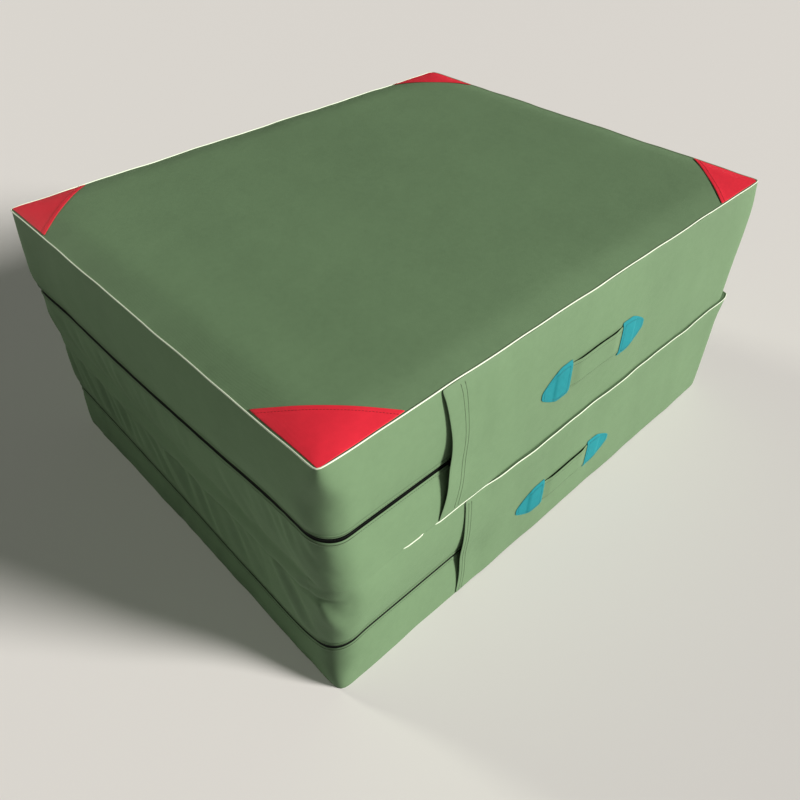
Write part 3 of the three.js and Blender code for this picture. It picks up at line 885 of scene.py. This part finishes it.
def make_zipper(half):
    """The tape, the closed coil and the two stitched hems that lie along it."""
    path, out = zip_path(half)
    gap = 7.5 * MM if half.is_upper else 4.8 * MM
    points, normals = rails(half, path, out, (-TAPE_HALF_HEIGHT, 0, TAPE_HALF_HEIGHT))
    tape = laid_cloth(f"{half.name}_zip_tape", points, normals, ZIP_TAPE,
                      thickness=0.7 * MM, lift=0.2 * MM)
    belongs(tape, half, "zipper", f"{half.name}_zipper")
    teeth_path = path + out * 1.3 * MM
    teeth = stitches(f"{half.name}_zip_teeth", [(teeth_path, out)], ZIP_COIL, length=3.4 * MM, gap=-1.2 * MM,
                     radius=0.75 * MM, crosswise=True)
    belongs(teeth, half, "zipper")
    runs = []
    for side, word in ((1, "upper"), (-1, "lower")):
        offsets = [side * d for d in (gap, gap + 1.5 * MM, gap + 7 * MM, gap + 12 * MM)]
        points, normals = rails(half, path, out, offsets)
        lift = np.array([1.0, 1.2, 0.8, 0.1])[:, None] * MM
        hem = laid_cloth(f"{half.name}_zip_hem_{word}", points, normals, CANVAS, thickness=0.9 * MM,
                         lift=lift, subdivide=1)
        belongs(hem, half, "canvas")
        seam = points[1] * 0.3 + points[2] * 0.7
        runs.append((seam + out * 2.2 * MM, out))
    belongs(stitches(f"{half.name}_zip_seams", runs, THREAD, length=4 * MM), half, "canvas")


# -------- handles

def strap_rise(distance, reach):
    return 4 * MM * smooth(reach - np.abs(distance), 0, 0.35 * reach)


def patch_half_height(t, full):
    """Half the height of a handle patch at a share t of its length, from its straight edge."""
    taper = np.interp(t, [0, 0.40, 0.94, 1], [1, 1, 0.34, 0.16])
    rounded = np.clip(1 - ((t - 0.34) / 0.70).clip(0) ** 1.9, 0, 1)
    return full * (0.65 * taper + 0.35 * rounded)


def make_handle(half, side):
    outward = -1 if side == "front" else 1
    low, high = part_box(f"{half.name}_{side}_handle")
    middle_x, middle_z = (low.x + high.x) / 2, (low.z + high.z) / 2
    left_low, left_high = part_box(f"{half.name}_{side}_handle_patch_left")
    inner = min(abs(left_high.x - middle_x), abs(left_low.x - middle_x))
    patch_length = left_high.x - left_low.x
    patch_height = (left_high.z - left_low.z) / 2
    foot = 0.5 * patch_length
    xs = np.linspace(middle_x - inner - foot, middle_x + inner + foot, 73)
    zs = np.linspace(low.z, high.z, 9)
    grid = np.stack(np.meshgrid(xs, zs), -1)
    points = np.stack([grid[..., 0], np.full(grid.shape[:2], outward * half.half_width), grid[..., 1]], -1)
    hits, _ = cast_grid(half.wall_tree, points, (0, outward, 0))
    hits[..., 1] = smoothed(hits[..., 1].T, 3).T
    rise = strap_rise(xs - middle_x, inner)[None]
    lean = 1 + 0.10 * (zs - middle_z)[:, None] / (zs[-1] - middle_z)
    normals = np.broadcast_to((0.0, float(outward), 0.0), hits.shape)
    strap = laid_cloth(f"{half.name}_{side}_strap", hits, normals, CANVAS,
                       thickness=2.6 * MM, lift=0.4 * MM + rise * lean, subdivide=1)
    belongs(strap, half, "canvas", f"{half.name}_{side}_handle")
    edge_runs = []
    for row in (1, -2):
        line = hits[row] + normals[row] * (3.0 * MM + (rise * lean)[row][:, None])
        edge_runs.append((line, normals[row]))
    belongs(stitches(f"{half.name}_{side}_strap_seams", edge_runs, THREAD, length=4 * MM), half, "canvas")
    for away, word in ((-1, "left"), (1, "right")):
        make_handle_patch(half, side, word, outward, away, (middle_x + away * inner, middle_z),
                          patch_length, patch_height)


def make_handle_patch(half, side, word, outward, away, place, length, height):
    t = np.linspace(0, 1, 22)
    v = np.linspace(-1, 1, 19)
    x = place[0] + away * t * length
    z = place[1] + v[:, None] * patch_half_height(t, height)[None]
    points = np.stack([np.broadcast_to(x, z.shape), np.full(z.shape, outward * half.half_width), z], -1)
    hits, _ = cast_grid(half.wall_tree, points, (0, outward, 0))
    over_strap = 1 - smooth(np.abs(z - place[1]), 37 * MM, 43 * MM)
    over_strap = over_strap * (1 - smooth(t, 0.5, 0.57))[None]
    pucker = 0.35 * MM * np.sin(38 * t + 3 * v[:, None]) * np.sin(17 * v[:, None])
    lift = 0.5 * MM + 2.9 * MM * over_strap + pucker
    normals = np.broadcast_to((0.0, float(outward), 0.0), hits.shape)
    name = f"{half.name}_{side}_{word}_patch"
    patch = laid_cloth(name, hits, normals, TEAL, thickness=1.0 * MM, lift=lift, subdivide=1)
    belongs(patch, half, "teal_canvas", f"{half.name}_{side}_handle_patch_{word}")
    loop = np.concatenate([hits[2, 2:-2], hits[2:-2, -3], hits[-3, -3:1:-1], hits[-3:1:-1, 2]])
    lifted = np.concatenate([lift[2, 2:-2], lift[2:-2, -3], lift[-3, -3:1:-1], lift[-3:1:-1, 2]])
    loop_normals = np.broadcast_to((0.0, float(outward), 0.0), loop.shape)
    loop = loop + loop_normals * (lifted[:, None] + 1.1 * MM)
    belongs(stitches(f"{name}_seam", [(loop, loop_normals)], THREAD_TEAL, length=3 * MM, gap=1.5 * MM,
                     radius=0.5 * MM), half, "teal_canvas")


# -------- corner patches

def make_corner_patch(name):
    """A red triangle over one corner of the top, with a turned and stitched long edge."""
    low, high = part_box(name)
    sign_x, sign_y = math.copysign(1, low.x + high.x), math.copysign(1, low.y + high.y)
    corner = np.array([high.x if sign_x > 0 else low.x, high.y if sign_y > 0 else low.y])
    corner = corner - np.array([sign_x, sign_y]) * 1.5 * MM
    leg_x, leg_y = high.x - low.x + 8 * MM, high.y - low.y + 8 * MM
    steps = 26
    far = np.linspace(0, 1, steps)[:, None]
    across = np.linspace(0, 1, steps)[None]
    x = corner[0] - sign_x * far * across * leg_x
    y = corner[1] - sign_y * far * (1 - across) * leg_y
    points = np.stack([x, y, np.full(x.shape, UPPER.top)], -1)
    hits, _ = cast_grid(UPPER.tree, points, (0, 0, 1))
    normals = np.broadcast_to((0.0, 0.0, 1.0), hits.shape)
    hem = smooth(far, 0.90, 0.915)
    folds = 0.5 * MM * np.sin(9 * across + 5 * far + 2 * sign_x) * far
    lift = 0.5 * MM + 0.5 * MM * hem + folds
    patch = laid_cloth(f"{name}_cloth", hits, normals, RED, thickness=1.0 * MM, lift=lift, subdivide=1)
    belongs(patch, UPPER, "red_canvas", name)
    row = int(0.915 * steps)
    line = hits[row] + normals[row] * (lift[row][:, None] + 1.1 * MM)
    belongs(stitches(f"{name}_seam", [(line, normals[row])], THREAD_RED, length=4 * MM), UPPER, "red_canvas")


# -------- hinge and fillings

def make_hinge_strip():
    """The canvas strip across the crease. It merges into the upper cover and laps over the lower one."""
    low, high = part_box("fold_hinge_strip")
    ys = np.linspace(low.y - 8 * MM, high.y + 8 * MM, 120)
    share = np.linspace(0, 1, 19)[:, None]
    bottom = low.z + 2 * MM * ripple(ys, 4)[None]
    z = bottom + share * (high.z - bottom)
    y = np.broadcast_to(ys, z.shape)
    points = np.stack([np.full(z.shape, low.x), y, z], -1)
    is_below = z < LOWER.top
    outward = (-1.0, 0.0, 0.0)
    on_lower, on_upper = (cast_grid(tree, points, outward)[0] for tree in (LOWER.tree, UPPER.tree))
    hits = np.where(is_below[..., None], on_lower, on_upper)
    depth = -hits[..., 0]
    hits[..., 0] = -np.maximum(smoothed(depth, 3), depth)
    ends = smooth(ys - ys[0], 0, 0.03) * smooth(ys[-1] - ys, 0, 0.35)
    lap = (1 - smooth(share, 0.1, 0.9)) * ends[None]
    normals = np.broadcast_to(outward, hits.shape)
    strip = laid_cloth("fold_hinge_cloth", hits, normals, CANVAS, thickness=1.2 * MM,
                       lift=(-1.6 + 7.2 * lap) * MM)
    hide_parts("fold_hinge_strip")
    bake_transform(strip)


def rounded_filling(x, y, xs, ys):
    """Rounds the hinge end's corners of a foam block's plan."""
    radius = np.where(y < 0, FRONT_CORNER[0], BACK_CORNER[0]) + 25 * MM
    u, v = (x - xs[0]) / radius, (ys[-1] - np.abs(y)) / radius
    near = (u < 1) & (v < 1)
    share, lean, rise = on_quarter_turn(u, v)
    new_x = xs[0] + radius * (1 - share * lean)
    new_y = np.sign(y) * (ys[-1] - radius * (1 - share * rise))
    return np.where(near, new_x, x), np.where(near, new_y, y)


def make_filling(half, node, material, slot):
    """A foam block inside a cover, with softened edges and a slightly uneven skin."""
    low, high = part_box(node)
    xs, ys = (np.linspace(low[i] + 4 * MM, high[i] - 4 * MM, int((high[i] - low[i]) / 0.04)) for i in (0, 1))
    zs = np.linspace(low.z + 0.5 * MM, high.z - 0.5 * MM, max(4, int((high.z - low.z) / 0.03)))
    _, places, quads = box_lattice(xs, ys, zs)
    x, y, z = xs[places[:, 0]], ys[places[:, 1]], zs[places[:, 2]]
    x, y = rounded_filling(x, y, xs, ys)
    swell = 1.2 * MM * np.sin(9 * x + 1) * np.sin(8 * y + 2)
    inner = np.minimum(z - zs[0], zs[-1] - z)
    points = np.column_stack([x, y, z - swell * (inner > 1e-6)])
    piece = new_object(f"{node}_block", points, quads, material)
    piece.modifiers.new("smooth", "SUBSURF").levels = 1
    apply_modifiers(piece)
    belongs(piece, half, slot, node)


# -------- the mat

UPPER = Half("upper", "top_panel", True)
LOWER = Half("lower", "base_panel", False)
for half in (LOWER, UPPER):
    make_cover(half)
    hidden_panels = [f"{half.name}_{part}" for part in ("inner_panel", "zip_wall_below", "zip_wall_above")]
    belongs(half.cover, half, "canvas", half.outer_panel, *hidden_panels)
    make_wall(half)
    make_zipper(half)
    for side in ("front", "back"):
        make_handle(half, side)
    make_filling(half, f"{half.name}_foam_core", SOFT_FOAM, "soft_foam")
    make_filling(half, f"{half.name}_firm_foam_sheet", FIRM_FOAM, "firm_foam")
    for part in ("zip_slider", "zip_pull"):
        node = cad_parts[f"{half.name}_{part}"]
        node.data.materials.clear()
        node.data.materials.append(ZIP_METAL)
make_top_piping()
make_lip_piping()
make_hinge_strip()
for corner in ("front_hinge", "front_open", "back_open", "back_hinge"):
    make_corner_patch(f"corner_patch_{corner}")


# -------- stage

CAMERA_PLACE = Vector((-1.1788, -1.2438, 1.5536))
CAMERA_TARGET = Vector((-0.1797, -0.1992, 0.2497))
CAMERA_LENS = 32.15  # mm, on a 36 mm sensor
FLOOR_REACH = 40.0
FLOOR_COLOR = (0.72, 0.72, 0.71, 1)
SKY_COLOR = (0.95, 0.98, 1.0, 1)
SKY_STRENGTH = 0.045
KEY_COLOR = (1.0, 0.94, 0.90)
RIM_COLOR = (0.97, 1.0, 0.82)


def make_camera():
    """The camera that the stack is seen from, above its front hinge corner."""
    camera_data = bpy.data.cameras.new("camera")
    camera_data.lens = CAMERA_LENS
    camera_data.sensor_width = 36
    camera = bpy.data.objects.new("camera", camera_data)
    bpy.context.scene.collection.objects.link(camera)
    camera.location = CAMERA_PLACE
    camera.rotation_mode = "QUATERNION"
    camera.rotation_quaternion = (CAMERA_TARGET - CAMERA_PLACE).to_track_quat("-Z", "Y")
    bpy.context.scene.camera = camera


def make_sun(name, azimuth, elevation, strength, color, softness, shine=1.0):
    """A distant soft light. Azimuth is from -Y towards +X, in degrees."""
    data = bpy.data.lights.new(name, "SUN")
    data.energy = strength
    data.color = color
    data.specular_factor = shine
    data.angle = math.radians(softness)
    light = bpy.data.objects.new(name, data)
    bpy.context.scene.collection.objects.link(light)
    azimuth, elevation = math.radians(azimuth), math.radians(elevation)
    flat = math.cos(elevation)
    toward = Vector((flat * math.sin(azimuth), -flat * math.cos(azimuth), math.sin(elevation)))
    light.location = toward * 6
    light.rotation_mode = "QUATERNION"
    light.rotation_quaternion = (-toward).to_track_quat("-Z", "Y")


def make_stage():
    """A pale floor, a low even sky and two suns."""
    material, _, shader = node_material("studio_floor")
    shader.inputs["Base Color"].default_value = FLOOR_COLOR
    shader.inputs["Roughness"].default_value = 0.9
    corners = [(x * FLOOR_REACH, y * FLOOR_REACH, 0) for x, y in ((-1, -1), (1, -1), (1, 1), (-1, 1))]
    floor = new_object("floor", corners, [(0, 1, 2, 3)], material)
    world = bpy.data.worlds.new("studio")
    world.use_nodes = True
    world.node_tree.nodes["Background"].inputs["Color"].default_value = SKY_COLOR
    world.node_tree.nodes["Background"].inputs["Strength"].default_value = SKY_STRENGTH
    bpy.context.scene.world = world
    make_sun("key", azimuth=34, elevation=22, strength=6.7, color=KEY_COLOR, softness=16)
    make_sun("rim", azimuth=-165, elevation=20, strength=1.1, color=RIM_COLOR, softness=10, shine=0.0)
    bpy.context.scene.view_settings.view_transform = "Standard"


make_camera()
make_stage()
